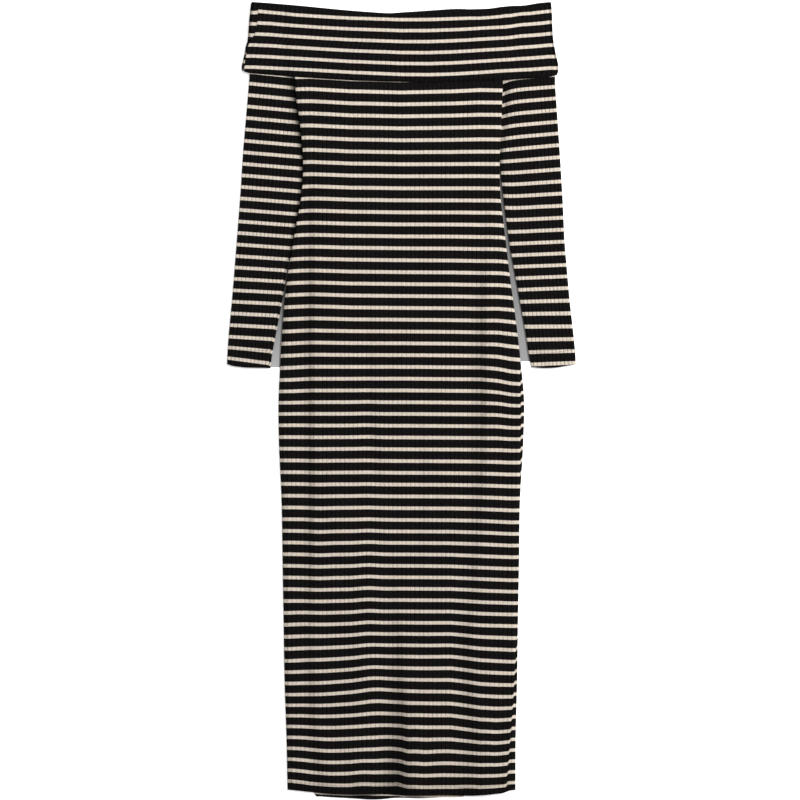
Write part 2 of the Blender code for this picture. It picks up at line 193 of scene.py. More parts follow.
FAINT_CREASE_LEFT = (
    (420, -52, 12, 8, 0, 0, 7, 7),
    (520, -48, 14, 8, 1.4, 0.04, 7, 7),
    (620, -45, 14, 8, 1.7, 0.1, 6, 6),
    (700, -37, 14, 8, 1.5, 0.1, 6, 6),
    (780, -34, 12, 8, 0, 0, 7, 7),
)
FAINT_CREASE_RIGHT = (
    (610, 30, 12, 7, 0, 0, 7, 7),
    (700, 31, 14, 7, 1.2, 0.1, 6, 6),
    (840, 28, 14, 7, 1.1, 0.05, 7, 7),
    (940, 18, 12, 7, 0, 0, 7, 7),
)
SECOND_RIGHT_CREASE = (
    (430, 110, 8, 7, 0, 0, 8, 7),
    (537, 107, 9, 7, 1.2, 0.08, 8, 7),
    (681, 106, 9, 6, 2.2, 0.16, 8, 7),
    (753, 104.5, 9, 6, 1.6, 0.1, 8, 7),
    (825, 100, 9, 8, 0, 0, 8, 7),
)
FRONT_CREASES = (
    LEFT_CREASE,
    RIGHT_CREASE,
    SECOND_RIGHT_CREASE,
    CENTRE_CREASE,
    FAINT_CREASE_LEFT,
    FAINT_CREASE_RIGHT,
)
SWELLS = (
    # drop, x, half height, half width, height
    (200, -40, 70, 60, 1),
    (330, 60, 90, 45, 1.3),
    (470, -95, 110, 30, 1.2),
    (560, 20, 90, 40, 1.4),
    (700, 80, 120, 26, 1),
    (760, -85, 120, 28, 1.3),
    (930, -60, 90, 26, 1.6),
    (1040, 48, 90, 26, 2),
    (1070, -58, 90, 20, 1.8),
    (1140, 22, 70, 12, 1.6),
    (1130, -100, 50, 18, -1.4),
    (1100, 130, 60, 18, 1.4),
)
UNEVENNESS = (
    # wave length across, wave length down, turn, height
    (61, 143, 0.4, 0.35),
    (37, 97, 1.9, 0.22),
    (26, 58, 3.1, 0.12),
)
HEM_ROLL = 15
HEM_ROLL_FALL = 3.6

# Sleeves
LEFT_SLEEVE = (
    # outer x, outer drop, inner x, inner drop, tucked width
    (-224.4, 9, -154, 15, 8),
    (-226.5, 32, -154, 39, 8),
    (-228, 107, -154, 116, 8),
    (-229, 122, -153, 131, 11),
    (-232.5, 165, -148, 174, 11),
    (-237.5, 223, -141.5, 233, 11),
    (-241.5, 285, -145.5, 296, 11),
    (-246.5, 350, -159, 360, 8),
    (-249.5, 388, -170, 397, 4),
    (-254, 443, -179.2, 451, 0),
    (-258.5, 491, -188.2, 497, 0),
    (-261, 524, -194.2, 530, 0),
    (-261.75, 541, -196.6, 549, 0),
)
RIGHT_SLEEVE = (
    # outer x, outer drop, inner x, inner drop, tucked width
    (223.6, 9, 146, 15, 8),
    (224, 32, 146, 39, 8),
    (230, 109, 146, 116, 8),
    (230.5, 124, 145, 131, 11),
    (233.5, 167, 144, 174, 11),
    (237.5, 226, 146.5, 233, 4),
    (241.5, 291, 153.2, 296, 0),
    (244.5, 356, 161.5, 361, 0),
    (247.5, 393, 168, 397, 0),
    (252.5, 449, 178, 452, 0),
    (257.5, 494, 186, 497, 0),
    (260.5, 524, 190.5, 527, 0),
    (261.5, 543.5, 194.5, 547.5, 0),
)
CUFF_EDGE = {
    # share across, how far the edge hangs down
    -1: ((0, 2), (0.1, 3.7), (0.28, 4.2), (0.45, 3.9), (0.65, 2.6), (0.85, 1.2), (1, 0.3)),
    1: ((0, 0), (0.2, 1.3), (0.4, 3), (0.6, 3.3), (0.8, 2.3), (1, 0)),
}
CUFF_BEND = 2
SLEEVE_LAST_LIFTED = 2
SLEEVE_FIRST_FLAT = 3
SLEEVE_BESIDE_BACK = 8
SLEEVE_LOFT = 2.2
SLEEVE_RISE = 6
SLEEVE_INNER_STEPS = 9
SLEEVE_ROWS_PER_SECTION = 9
SLEEVE_SEAM_INSET = 3
TURN_ANGLES = tuple(range(-75, 90, 15))
# Painted shade on the sleeves beside the body's edge, where they go under it
ARMHOLE_PAINTED_SHADE = {
    # drop, distance from the body's edge, reach, strength
    -1: (
        (100, 0, 10.5, 1),
        (190, 0, 9, 1),
        (230, 0, 5.5, 1),
        (330, 0, 5, 1),
        (430, 0, 4, 0.8),
    ),
    1: (
        (110, 3, 9, 0),
        (125, 7, 6, 0.4),
        (150, 7, 5, 0.45),
        (200, 5, 5, 0.3),
        (232, 0, 4, 0.9),
        (255, 0, 3.5, 1),
        (300, 0, 3, 0.5),
    ),
}
SLEEVE_SWELLS = {
    # section, share across, half length, half width, height
    -1: (
        (4.5, 0.45, 1.6, 0.2, 1),
        (6.5, 0.7, 1.5, 0.16, 0.9),
        (8.5, 0.35, 2, 0.2, 1.1),
        (5.5, 0.62, 2.6, 0.05, -0.6),
    ),
    1: (
        (4, 0.55, 1.4, 0.2, 1),
        (6, 0.35, 1.5, 0.18, 0.9),
        (9, 0.6, 2, 0.2, 1.1),
        (5, 0.3, 2.2, 0.05, -0.6),
    ),
}
SWELL_FADE = 8
# Millimetres that a sleeve's width and a section stand for in the unevenness, and the sections that
# part the two sleeves' waves
UNEVEN_WIDTH = 70
UNEVEN_STEP = 45
UNEVEN_SHIFT = 20

# Collar
COLLAR_SECTIONS = (
    # depth, left edge, right edge, left seam, right seam
    (0, -225.5, 224.5, -214.5, 214),
    (22, -228, 226, -215.5, 213.7),
    (40, -229.5, 226.5, -217.5, 213.8),
    (49, -230, 227, -220, 214.5),
    (59, -231, 228, -227, 215),
    (67, -233.8, 229.5, -230.5, 216),
    (77, -235.2, 231.2, -232.8, 217),
    (95, -239.5, 235.5, -235.2, 219),
    (105, -240, 235, -236.5, 220),
    (112, -240, 233.3, -237, 220),
)
FLAP_EDGE = (
    # x, drop of the collar's lower edge
    (-240, 103.5), (-229.8, 106.7), (-223.8, 107.2), (-190, 110), (-157.8, 112.5),
    (-106.8, 116), (-58.8, 118.5), (-1.8, 120), (43, 120.5), (95.7, 119.4),
    (148, 117.6), (165, 116.8), (193, 114.5), (227.7, 111.8), (234, 110),
)
BACK_FLAP_DEPTH = 96
FLAP_SHOULDER = 8
FLAP_STEP_START = 16
FLAP_ROWS = 24
FLAP_TOP_SHARE = 0.04
FLAP_EDGE_ROWS = 3
INNER_EVERY = 12
STRIP_SHARES = (1, 0.85, 0.7, 0.5, 0.3, 0.15, 0)
STRIP_RIBS = 1.5
TAIL_SHARES = (0, 0.5, 1)
TAIL_RIBS = 2
FOLD_ANGLES = tuple(range(90, -91, -15))

# Stripes: one beige stripe for each whole number, numbered from the collar's lower edge
STRIPE_PITCH = 17.7
STRIPE_HALF_WIDTH = 0.146
BODY_STRIPE_X = (-166, -136, -76, 0, 73.5, 118.5, 163.5)
BODY_STRIPES = (
    # stripe, then its drop at each of the places above
    (0, 130.8, 130.8, 134.2, 136, 134.5, 132.4, 133),
    (6, 240, 240, 242.6, 243.7, 243.5, 243.2, 243.3),
    (12, 349.2, 349.2, 350.8, 351.8, 352.1, 352.7, 352.5),
    (18, 457.5, 456.3, 458.2, 459, 459.6, 460.4, 460.9),
    (24, 566.7, 565.2, 565.2, 565, 565.6, 566, 570),
    (30, 669.9, 670.4, 670.2, 670.8, 671.2, 671.6, 672.8),
    (36, 775.7, 776.1, 776.4, 776.8, 777.1, 778.2, 780.4),
    (42, 880.5, 881.3, 881, 879.9, 880.3, 882.5, 884.4),
    (48, 988.2, 986.6, 984.4, 981.5, 982.3, 987, 989.3),
    (54, 1086.8, 1087.5, 1087.4, 1086, 1088, 1093.6, 1092.9),
    (59, 1168.7, 1172.2, 1175.2, 1175.6, 1177.2, 1177.4, 1174),
)
STRIPE_WAVES = (
    # drop, x, half height, half width, how far the stripes rise
    (640, -52, 60, 16, 0.6),
    (880, -50, 130, 18, 1.5),
    (1030, -38, 55, 24, 2.6),
    (1140, -20, 60, 20, 2.4),
    (800, -122, 90, 16, -0.9),
    (1035, -128, 40, 40, -1.5),
    (1130, -108, 50, 26, -1.2),
    (1140, 34, 45, 18, -1.9),
    (1010, 78, 90, 30, 0.9),
    (1100, 144, 50, 14, -1.4),
    (500, 142, 60, 14, 0.8),
    (620, 144, 50, 14, 0.9),
    (1160, -56, 42, 20, 1.9),
    (1130, 10, 60, 8, -1.5),
    (1172, -6, 22, 6, 1.3),
    (1033, -10, 26, 75, 0.8),
    (1110, -150, 110, 24, 0.9),
    (560, 181, 50, 30, -3.2),
    (1017, -55, 170, 40, 0.8),
    (930, -148, 30, 25, 1),
    (1036, -165, 24, 30, -1),
    (930, 165, 30, 30, 1),
    (1038, 155, 28, 30, -0.7),
    (838, 115, 22, 60, -0.6),
    (1160, 148, 30, 20, -0.6),
    (631, -165, 18, 30, 0.7),
    (1165, -60, 25, 35, 0.5),
    (1175, 100, 12, 16, 1),
)
STRIPE_EDGE_DIPS = (
    # drop, how far the stripes dip at the left edge, and at the right edge
    (230, 0.4, 0), (310, 1.6, 0.8), (350, 1.5, 1.8), (390, 1.2, 2), (430, 0.9, 1.8),
    (490, 0.5, 1.6), (540, 0.8, 0.5), (620, 0, 0),
)
STRIPE_EDGE_DIP_REACH = 9
SIDE_SEAM = (
    # drop, x
    (930, 179), (957, 173.5), (1060, 166.5), (1182, 157),
)
BACK_STRIPE_RISE = 4.2
LEFT_SLEEVE_STRIPES = (
    # stripe, drop on the line x = -226.5, fall for each mm towards the body
    (0, 122.6, 0.1), (5, 209.1, 0.085), (10, 295.8, 0.078), (15, 382.5, 0.066),
    (19, 450.8, 0.047), (22, 503.9, 0.056), (24, 538.4, 0.128),
)
RIGHT_SLEEVE_STRIPES = (
    # stripe, drop on the line x = 216, fall for each mm towards the body
    (-1, 110.6, 0.079), (0, 128.4, 0.08), (5, 216.5, 0.09), (10, 306.9, 0.05),
    (13, 360.7, 0.044), (15, 395.6, 0.037), (17, 430.2, 0.038), (19, 467.4, 0.012),
    (20, 486.9, 0.004), (21, 506.3, 0.014), (23, 542.9, 0.04),
)
LEFT_SLEEVE_STRIPE_X = 226.5
RIGHT_SLEEVE_STRIPE_X = 216
ARMHOLE_DIPS = (
    # drop, how far the right sleeve's stripes dip beside the body
    (120, 5.4), (139, 5.1), (173, 3.1), (209, 1.1), (244, -0.6), (280, -1.8), (314, -2),
    (350, -1), (380, 0),
)
ARMHOLE_DIP_X = 151
ARMHOLE_DIP_REACH = 11
ARMHOLE_DIP_POWER = 1.3
COLLAR_STRIPES = (
    # x, drop of the first stripe, drop of the second, drop of the sixth
    (-221, 14.4, 31.1, 97.5),
    (-214.5, 13.9, 31.5, 97.8),
    (-196.5, 15.6, 32.2, 98.7),
    (-178.5, 17.2, 34, 99.6),
    (-160.5, 19.3, 35.5, 100.5),
    (-121, 21.9, 38.1, 102.7),
    (-76, 24.3, 40.5, 105.3),
    (0, 26.6, 43, 108.5),
    (40, 26.4, 42.9, 108.9),
    (73.5, 25.3, 41.8, 108),
    (101, 24.4, 40.5, 106.5),
    (118.5, 24.3, 39.3, 105.4),
    (132, 23.4, 38.6, 104.5),
    (148.5, 21.8, 37.8, 103.4),
    (155, 20.8, 37.5, 103),
    (163, 20.5, 36.7, 102.6),
    (172, 19, 35.1, 102.1),
    (180, 17.9, 34, 101.7),
    (193.5, 17.1, 33.1, 101),
    (208, 15.4, 31.9, 99.9),
    (221, 13.9, 30.4, 98.9),
)
COLLAR_STRIPE_NUMBERS = (0, 1, 5)
COLLAR_STRIPE_FALL = 0.5
STRIP_FALL = (
    # depth, fall
    (0, 1.4), (54, 1.8), (58, 3.4), (76, 18.1), (79, 8.5), (112, 8.5),
)
COLLAR_BAND_START = -0.35
COLLAR_BAND_STRETCH = 0.5

# View and light
CAMERA_DISTANCE = 10
CAMERA_PLACE = (-0.00225, 0.001)
FRAME_WIDTH = 1.2
LIGHTS = (
    # name, place, size, power
    ("key", (3.6, 2.0, 4.2), 1.4, 340.0),
    ("top", (0.3, 1.7, 1.8), 1.2, 20.0),
)
SKY_STRENGTH = 0.38
WHITE = (1.0, 1.0, 1.0, 1.0)

# Floor, with a painted grey shadow between the sleeves and the body, as the photograph shows there
FLOOR_HALF = 8
FLOOR_LEVEL = -0.0002
FLOOR_COLOUR = (0.9, 0.9, 0.9, 1.0)
FLOOR_ROUGHNESS = 0.7
SHADE_INNER_X = 0.14
SHADE_OUTER_X = 0.21
SHADE_TOP_Y = 0.4
FLOOR_PAINTED_SHADOWS = (
    # end y, end grey, top y, top grey, for the left and then the right
    (0.050, 0.35, 0.18, 0.035),
    (0.059, 0.27, 0.36, 0.045),
)
FLOOR_GLOW = 0.5

# Colours, linear
BEIGE = (0.80, 0.705, 0.605, 1.0)
BEIGE_DARK = (0.60, 0.52, 0.43, 1.0)
BLACK = (0.0078, 0.0071, 0.0071, 1.0)
BLACK_DARK = (0.0022, 0.0016, 0.0014, 1.0)

# Knit, as scale and detail of a noise, or as from, to, value before and value after of a ramp
WALES_PER_RIB = 4
COURSES_PER_STRIPE = 10
STITCH_SLANT = 1.1
LEG_ROUNDNESS = 0.6
LEG_LOWEST = 0.16
# Painted shade in the pits between stitches
PIT_RAMP = (0.05, 0.7, 0.58, 1.0)
STRIPE_SOFT = 0.012
STRIPE_RAGGED = 0.05
STRIPE_WANDER = 0.02
WANDER_NOISE = (55.0, 2.0)
HEATHER_NOISE = (900.0, 3.0)
HEATHER_RAMP = (0.35, 0.65, 0.0, 1.0)
BLOTCH_NOISE = (60.0, 2.0)
BLOTCH_RAMP = (0.3, 0.7, 0.0, 0.12)
BLACK_NOISE = (320.0, 3.0)
BLACK_RAMP = (0.3, 0.7, 0.4, 1.0)
# Painted shade on the black between the ribs
BLACK_VALLEY_RAMP = (0.5, 0.95, 1.0, 0.3)
# Painted shade in the valleys between the ribs, deeper or lighter at random
VALLEY_START = 0.72
VALLEY_NOISE = (38.0, 2.0)
VALLEY_NOISE_RANGE = (0.38, 0.62)
VALLEY_DARKER = 0.16
VALLEY_LIGHTER = 0.1
# How far the painted shade of creases and armholes darkens the colour
PAINTED_SHADE_DARKNESS = 0.9
FUZZ_NOISE = (1400.0, 2.0)
FUZZ_HEIGHT = 0.5
BUMP_STRENGTH = 0.6
BUMP_HEIGHT = 0.35
KNIT_SURFACE = {
    "Roughness": 0.88,
    "Specular IOR Level": 0.05,
    "Sheen Weight": 0.02,
    "Sheen Roughness": 0.35,
}

# Sewing
STITCH_THICKNESS = 0.5
STITCH_CORE = 0.2
STITCH_SHARE = 0.8
STITCHES_PER_RIB = 2.3
STITCH_DARKNESS = 0.45
SEAM_WIDTH = 0.9
KNITS = (
    # name, rows of stitches above the hem, painted valley shade, stripe step at the seam, its blend,
    # seam shade
    ("body_knit", (13.0, 16.5), 0.72, 3.9, 1.8, 0.1),
    ("sleeve_knit", (22.5, 26.0), 0.54, -1.0, 0.3, 0.45),
    ("collar_knit", (-FAR, -FAR), 0.8, 0.0, 1.0, 0.0),
)


def smooth(value):
    """Soft step from 0 to 1."""
    value = np.clip(value, 0.0, 1.0)
    return value * value * (3.0 - 2.0 * value)


def column_of(table, column):
    return np.array([row[column] for row in table], float)


def straight(table, at, column=1):
    """Straight-line reading of a table by its first column."""
    return np.interp(at, column_of(table, 0), column_of(table, column))


def curve(table, at, column=1):
    """Smooth reading of a table by its first column."""
    return follow(column_of(table, 0), column_of(table, column), at)


def follow(keys, values, at):
    """Smooth curve through values at the places of their keys."""
    slopes = np.gradient(values, keys)
    at = np.clip(at, keys[0], keys[-1])
    spot = np.clip(np.searchsorted(keys, at, side="right") - 1, 0, len(keys) - 2)
    span = keys[spot + 1] - keys[spot]
    t = (at - keys[spot]) / span
    start = (1 + 2 * t) * (1 - t) ** 2 * values[spot] + t * (1 - t) ** 2 * span * slopes[spot]
    end = t * t * (3 - 2 * t) * values[spot + 1] + t * t * (t - 1) * span * slopes[spot + 1]
    return start + end


def hills(table, down, across):
    """Height of the round hills of a table: place down and across, reach down and across, height."""
    total = np.zeros_like(across)
    for middle_down, middle_across, tall, wide, height in table:
        from_middle = ((down - middle_down) / tall) ** 2 + ((across - middle_across) / wide) ** 2
        total = total + height * np.exp(-from_middle)
    return total


def uneven(x, drop):
    """The small rise and fall of cloth that lies loosely."""
    total = np.zeros_like(x)
    for across, down, turn, height in UNEVENNESS:
        wave_across = np.sin(2 * math.pi * x / across + turn)
        wave_down = np.sin(2 * math.pi * drop / down + 2 * turn)
        total = total + height * wave_across * wave_down
    return total


def body_edge(drop, column):
    """X of the body's left edge, from column 1, or of its right edge, from column 2."""
    return curve(BODY_SECTIONS, drop, column)


def back_neck_lift(x):
    """The back neck edge shows a little above the front one near the middle."""
    from_middle = (x - BACK_NECK_MIDDLE) / BACK_NECK_SPREAD
    return BACK_NECK_LIFT * np.clip(1 - from_middle ** 4, 0.0, 1.0)


def rib_profile(place, pitch):
    """0 in the valley between two ribs, 1 on a rib's broad crest."""
    share = np.mod(place / pitch, 1.0)
    near = np.minimum(share, 1 - share)
    return 1 - (1 - np.minimum(1.0, near / RIB_FLANK)) ** 2


def edge_drop(from_edge):
    """How far a wall's rounded edge lies below its outer side."""
    inside = np.clip(1 - from_edge / EDGE_RADIUS, 0.0, 1.0)
    return EDGE_RADIUS * (1 - np.sqrt(1 - inside ** 2))


def rib_places(start, end, pitch):
    """Places across a panel: rib columns between the edges, and a few that round each edge."""
    ribs = np.arange(math.floor(start / pitch), math.ceil(end / pitch) + 1)
    places = (ribs[:, None] + np.array(RIB_COLUMNS)[None, :]).ravel() * pitch
    margin = EDGE_COLUMNS[-1] + SMALLEST_STEP
    places = places[(places > start + margin) & (places < end - margin)]
    edges = np.array(EDGE_COLUMNS)
    return np.concatenate([start + edges, places, end - edges[::-1]])


def new_object(name, data):
    made = bpy.data.objects.new(name, data)
    bpy.context.scene.collection.objects.link(made)
    return made


class Wall:
    """A closed wall built from rows of points on its outer and its inner side."""

    def __init__(self, name):
        self.name = name
        self.points, self.knit, self.sewn, self.faces = [], [], [], []
        self.rows = {"outer": [], "inner": []}
        self.count = 0

    def add(self, side, places, points, knit, to_hem=FAR, past_seam=-FAR, painted_shade=0.0):
        """One more row. The points are x, drop and z, and knit is the rib and stripe number."""

        def columns(*parts):
            return np.stack([np.broadcast_to(part, places.shape) for part in parts], axis=1)

        x, drop, z = points
        self.points.append(columns(x, TOP_Y - drop, z) * MM)
        # The knit attribute's third part is the painted shade
        self.knit.append(columns(*knit, painted_shade))
        self.sewn.append(columns(to_hem, past_seam, 0.0))
        row = list(zip(places.tolist(), range(self.count, self.count + len(places))))
        self.count += len(places)
        self.rows[side].append(row)

    def stitch(self, row_a, row_b):
        """Faces between two rows, which may have points at different places."""
        a, b = 0, 0
        last_a, last_b = len(row_a) - 1, len(row_b) - 1
        while a < last_a or b < last_b:
            next_a = row_a[a + 1][0] if a < last_a else math.inf
            next_b = row_b[b + 1][0] if b < last_b else math.inf
            corners = [row_a[a][1], row_b[b][1]]
            if next_b < next_a + SAME_PLACE:
                b += 1
                corners.append(row_b[b][1])
            if next_a < next_b + SAME_PLACE:
                a += 1
                corners.append(row_a[a][1])
            self.faces.append(corners)

    def join_rows(self):
        """Faces of the outer and inner sides, of the first and last rims, and of both ends."""
        outer, inner = self.rows["outer"], self.rows["inner"]
        for rows in (outer, inner):
            for row_a, row_b in zip(rows, rows[1:]):
                self.stitch(row_a, row_b)
        for row in (0, -1):
            self.stitch(outer[row], inner[row])
        for row in range(len(outer) - 1):
            corners = (outer[row], outer[row + 1], inner[row + 1], inner[row])
            for end in (0, -1):
                self.faces.append(tuple(corner[end][1] for corner in corners))

    def build(self, material):
        self.join_rows()
        data = bpy.data.meshes.new(self.name)
        data.from_pydata(np.concatenate(self.points).tolist(), [], self.faces)
        for label, rows in (("knit", self.knit), ("sewn", self.sewn)):
            layer = data.attributes.new(label, "FLOAT_VECTOR", "POINT")
            layer.data.foreach_set("vector", np.concatenate(rows).astype(np.float32).ravel())
        mesh = bmesh.new()
        mesh.from_mesh(data)
        bmesh.ops.recalc_face_normals(mesh, faces=mesh.faces)
        mesh.to_mesh(data)
        mesh.free()
        data.shade_smooth()
        data.set_sharp_from_angle(angle=math.radians(SHARP_ANGLE))
        data.materials.append(material)
        return new_object(self.name, data)


# Stripes


def stripe_number(drops, numbers, drop):
    """Stripe number at a drop, given the drops of a few numbered stripes at each point."""
    low = np.clip((drops <= drop).sum(axis=0) - 1, 0, len(numbers) - 2)
    points = np.arange(drops.shape[1])
    start, end = drops[low, points], drops[low + 1, points]
    return numbers[low] + (drop - start) / (end - start) * (numbers[low + 1] - numbers[low])


def body_stripe(x, drop):
    drops = np.array([np.interp(x, BODY_STRIPE_X, row[1:]) for row in BODY_STRIPES])
    moved = drop + hills(STRIPE_WAVES, drop, x)
    for side, column in ((-1, 1), (1, 2)):
        inside = np.maximum(0.0, side * (body_edge(drop, column) - x))
        dip = straight(STRIPE_EDGE_DIPS, drop, column)
        moved = moved - dip * np.exp(-inside / STRIPE_EDGE_DIP_REACH)
    return stripe_number(drops, column_of(BODY_STRIPES, 0), moved)


def sleeve_stripe(x, drop, side):
    table, line_x = LEFT_SLEEVE_STRIPES, LEFT_SLEEVE_STRIPE_X
    if side > 0:
        table, line_x = RIGHT_SLEEVE_STRIPES, RIGHT_SLEEVE_STRIPE_X
        away = np.maximum(0.0, x - ARMHOLE_DIP_X) / ARMHOLE_DIP_REACH
        drop = drop - straight(ARMHOLE_DIPS, drop) * np.exp(-away ** ARMHOLE_DIP_POWER)
    inward = line_x - side * x
    drops = column_of(table, 1)[:, None] + column_of(table, 2)[:, None] * inward[None, :]
    return stripe_number(drops, column_of(table, 0), drop)


def collar_stripe(x, depth, on_strip):
    """The stripes of the back collar's strip lie lower than those beside them."""
    drops = np.array([straight(COLLAR_STRIPES, x, column) for column in (1, 2, 3)])
    fall = COLLAR_STRIPE_FALL + on_strip * straight(STRIP_FALL, depth)
    depths = drops - curve(NECK_LINE, x) + fall
    number = stripe_number(depths, np.array(COLLAR_STRIPE_NUMBERS), depth)
    in_band = COLLAR_BAND_START + (number - COLLAR_BAND_START) * COLLAR_BAND_STRETCH
    return np.where(number < COLLAR_BAND_START, in_band, number)


# Front and back


def crease_bell(crease, x, drop, left_column, right_column):
    """1 along a crease's bottom, fading over the half widths in two columns of its table."""
    centre = straight(crease, drop)
    on_left, on_right = [straight(crease, drop, column) for column in (left_column, right_column)]
    half_width = np.where(x < centre, on_left, on_right)
    return np.exp(-((x - centre) / half_width) ** 2)


def crease_depth(x, drop):
    total = np.zeros_like(x)
    for crease in FRONT_CREASES:
        total = total + straight(crease, drop, 4) * crease_bell(crease, x, drop, 2, 3)
    return total


def crease_shade(x, drop):
    """Painted shade at the bottom of the creases: how dark it is."""
    light = np.ones_like(x)
    for crease in FRONT_CREASES:
        light = light * (1 - straight(crease, drop, 5) * crease_bell(crease, x, drop, 6, 7))
    return 1 - light


def side_rise(inside):
    """0 at the body's side, 1 in its middle: a short steep rise and a long gentle one."""
    steep = (1 - SIDE_SLOPE_SHARE) * smooth(inside / EDGE_FALL_WIDTH)
    return steep + SIDE_SLOPE_SHARE * smooth(inside / SIDE_SLOPE_WIDTH)


def front_level(x, drop, left, right, row):
    """Height of the front's inner side: under the collar's layers at the top, lofted below."""
    left_fall = (BODY_LOFT - straight(BODY_SECTIONS, drop, 3)) * (1 - side_rise(x - left))
    right_fall = (BODY_LOFT - straight(BODY_SECTIONS, drop, 4)) * (1 - side_rise(right - x))
    folds = uneven(x, drop) + hills(SWELLS, drop, x) - crease_depth(x, drop)
    folds = folds * smooth(np.minimum(x - left, right - x) / EDGE_FALL_WIDTH)
    roll = HEM_ROLL_FALL * smooth(1 - (curve(FRONT_HEM, x) - drop) / HEM_ROLL)
    level = np.maximum(STEP, BODY_LOFT - left_fall - right_fall + folds - roll)
    in_collar = straight(UPPER_LEVELS, row) + STEP
    blend = smooth((row - COLLAR_ZONE_END) / COLLAR_BLEND)
    return in_collar * (1 - blend) + level * blend


def row_drop(row, x, hem):
    """A row follows the neck at the top and the hem at the bottom, and is straight between them."""
    to_straight = smooth((row - COLLAR_ZONE_END) / (NECK_BEND_END - COLLAR_ZONE_END))
    to_hem = smooth((row - BODY_END + HEM_BEND) / HEM_BEND)
    return row + curve(NECK_LINE, x) * (1 - to_straight) + (curve(hem, x) - BODY_END) * to_hem


def body_rows():
    """Rows down the body: a few inside the collar, then even ones, and close ones at the hem."""
    count = int((BODY_END - COLLAR_ZONE_END) / ROW_STEP)
    shown = np.linspace(COLLAR_ZONE_END - ROW_OVERLAP, BODY_END - HEM_ROWS[0], count)
    return [*HIDDEN_ROWS, *shown.tolist(), *[BODY_END - inset for inset in HEM_ROWS[1:]]]


def make_front(material):
    wall = Wall("front_knit")
    for row in body_rows():
        left, right = float(body_edge(row, 1)), float(body_edge(row, 2))
        ribbed = RIB_HEIGHT * float(smooth((row - COLLAR_ZONE_END) / RIB_START))
        x = rib_places(left, right, BODY_RIB_PITCH)
        drop = row_drop(row, x, FRONT_HEM)
        edge = np.minimum(x - left, right - x)
        height = front_level(x, drop, left, right, row) + WALL
        height = height + ribbed * rib_profile(x, BODY_RIB_PITCH) * smooth(edge / RIB_FADE)
        height = height - edge_drop(np.minimum(edge, BODY_END - row))
        knit = (x / BODY_RIB_PITCH, body_stripe(x, drop))
        to_hem, past_seam = curve(FRONT_HEM, x) - drop, x - straight(SIDE_SEAM, drop)
        # The creases carry painted shade
        wall.add("outer", x, (x, drop, height), knit, to_hem, past_seam, crease_shade(x, drop))
        x = np.linspace(left, right, 2 * INNER_COLUMNS)
        drop = row_drop(row, x, FRONT_HEM)
        height = front_level(x, drop, left, right, row)
        wall.add("inner", x, (x, drop, height), (x / BODY_RIB_PITCH, body_stripe(x, drop)))
    return wall.build(material)


def back_edges(row):
    """The back fills the space between the sleeves, and below them has the front's outline."""
    edges = {-1: float(body_edge(row, 1)), 1: float(body_edge(row, 2))}
    for side, table in ((-1, LEFT_SLEEVE), (1, RIGHT_SLEEVE)):
        sections = table[:SLEEVE_BESIDE_BACK + 1]
        if row <= sections[-1][3]:
            inner = np.interp(row, column_of(sections, 3), column_of(sections, 2)) - side * GAP
            edges[side] = side * min(side * edges[side], side * inner)
    return edges[-1], edges[1]


def make_back(material):
    wall = Wall("back_knit")
    rows = body_rows()
    for row in rows[:-1:2] + rows[-1:]:
        start = row + BACK_TOP_SHIFT if row < COLLAR_ZONE_END else row
        beside_sleeves = row < COLLAR_ZONE_END + BACK_EDGE_SHIFT_END
        left, right = back_edges(start + BACK_EDGE_SHIFT if beside_sleeves else start)
        lift = STEP * (1 - float(smooth((start - BACK_FALL_START) / BACK_FALL)))
        x = rib_places(left, right, BODY_RIB_PITCH)
        drop = row_drop(start, x, BACK_HEM)
        edge = np.minimum(x - left, right - x)
        groove = RIB_HEIGHT * (1 - rib_profile(x, BODY_RIB_PITCH)) * smooth(edge / RIB_FADE)
        floor = lift + groove + edge_drop(np.minimum(edge, BODY_END - row)) * BACK_EDGE_ROUNDING
        knit = (x / BODY_RIB_PITCH, body_stripe(x, drop + BACK_STRIPE_RISE))
        wall.add("outer", x, (x, drop, floor), knit, curve(BACK_HEM, x) - drop)
        x = np.linspace(left, right, 4 * INNER_COLUMNS)
        drop = row_drop(start, x, BACK_HEM)
        knit = (x / BODY_RIB_PITCH, body_stripe(x, drop + BACK_STRIPE_RISE))
        wall.add("inner", x, (x, drop, lift + WALL), knit)
    return wall.build(material)


# Sleeves


def armhole_painted_shade(x, drop, side):
    """Painted shade: 1 where a sleeve goes under the body's edge, fading away from it."""
    edge = body_edge(drop, 1 if side < 0 else 2)
    away = np.maximum(0.0, side * (x - edge))
    table = ARMHOLE_PAINTED_SHADE[side]
    centre, reach, strength = [straight(table, drop, column) for column in (1, 2, 3)]
    return strength * np.exp(-((away - centre) / reach) ** 2)


